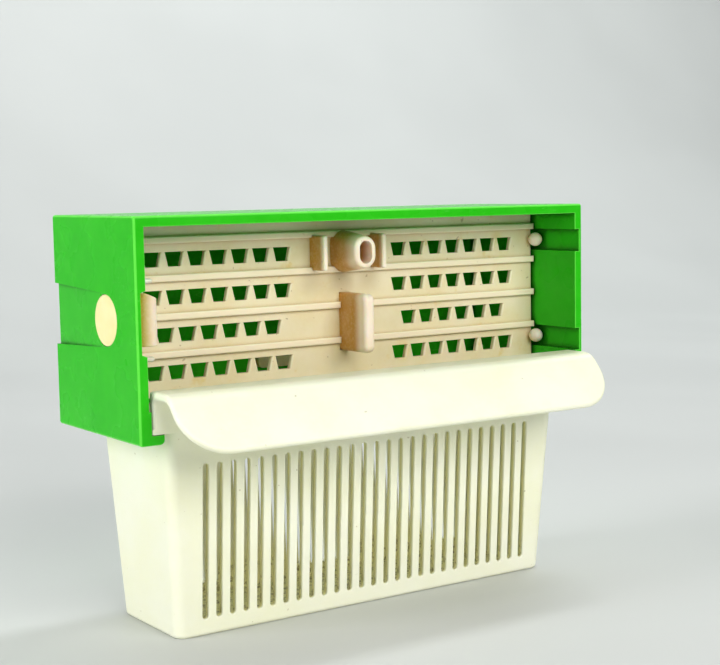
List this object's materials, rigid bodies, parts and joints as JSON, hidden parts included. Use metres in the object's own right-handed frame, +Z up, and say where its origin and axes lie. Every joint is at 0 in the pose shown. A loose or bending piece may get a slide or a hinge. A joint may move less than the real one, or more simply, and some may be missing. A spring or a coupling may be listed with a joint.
{
  "type": "slotted drawer basket",
  "caption": "Ivory basket with vertical slots and a curved pull lip, sliding under an open-front green housing that holds a slotted cream plate with a guide tube.",
  "frame": {"origin": "centre of the whole object's footprint, on the surface that the basket stands on", "axes": "+Z up, +X to the right seen from the open front, -Y towards the front and the pull lip"},
  "size_m": [0.2226, 0.1061, 0.1667],
  "materials": {
    "green_shell": "glossy moulded",
    "cream_plate": "aged satin",
    "peach_insert": "satin, slightly translucent",
    "clear_peg": "translucent gloss",
    "ivory_basket": "semi-gloss moulded"
  },
  "bodies": {
    "housing_body": {"housing": "green_shell", "rear_block": "peach_insert"},
    "button": {"side_button": "peach_insert"},
    "plate_carrier": {"slotted_plate": "cream_plate", "guide_tube": "peach_insert", "left_fin": "peach_insert", "right_fin": "peach_insert", "centre_paddle": "peach_insert", "upper_ball_peg": "peach_insert", "lower_ball_peg": "peach_insert", "side_cheek": "cream_plate", "grip_bar": "peach_insert", "upper_stop_peg": "clear_peg", "lower_stop_peg": "clear_peg"},
    "basket": {"basket_tub": "ivory_basket", "basket_rim": "ivory_basket", "pull_lip": "ivory_basket"}
  },
  "joints": [
    {"name": "basket_slide", "type": "slide", "parent": "housing_body", "child": "basket", "axis": [0, -1, 0], "range_m": [0, 0.05]},
    {"name": "plate_slide", "type": "slide", "parent": "housing_body", "child": "plate_carrier", "axis": [0, -1, 0], "range_m": [0, 0.022]},
    {"name": "button_press", "type": "slide", "parent": "housing_body", "child": "button", "axis": [1, 0, 0], "range_m": [0, 0.0012], "stiffness_N_per_m": 400}
  ]
}
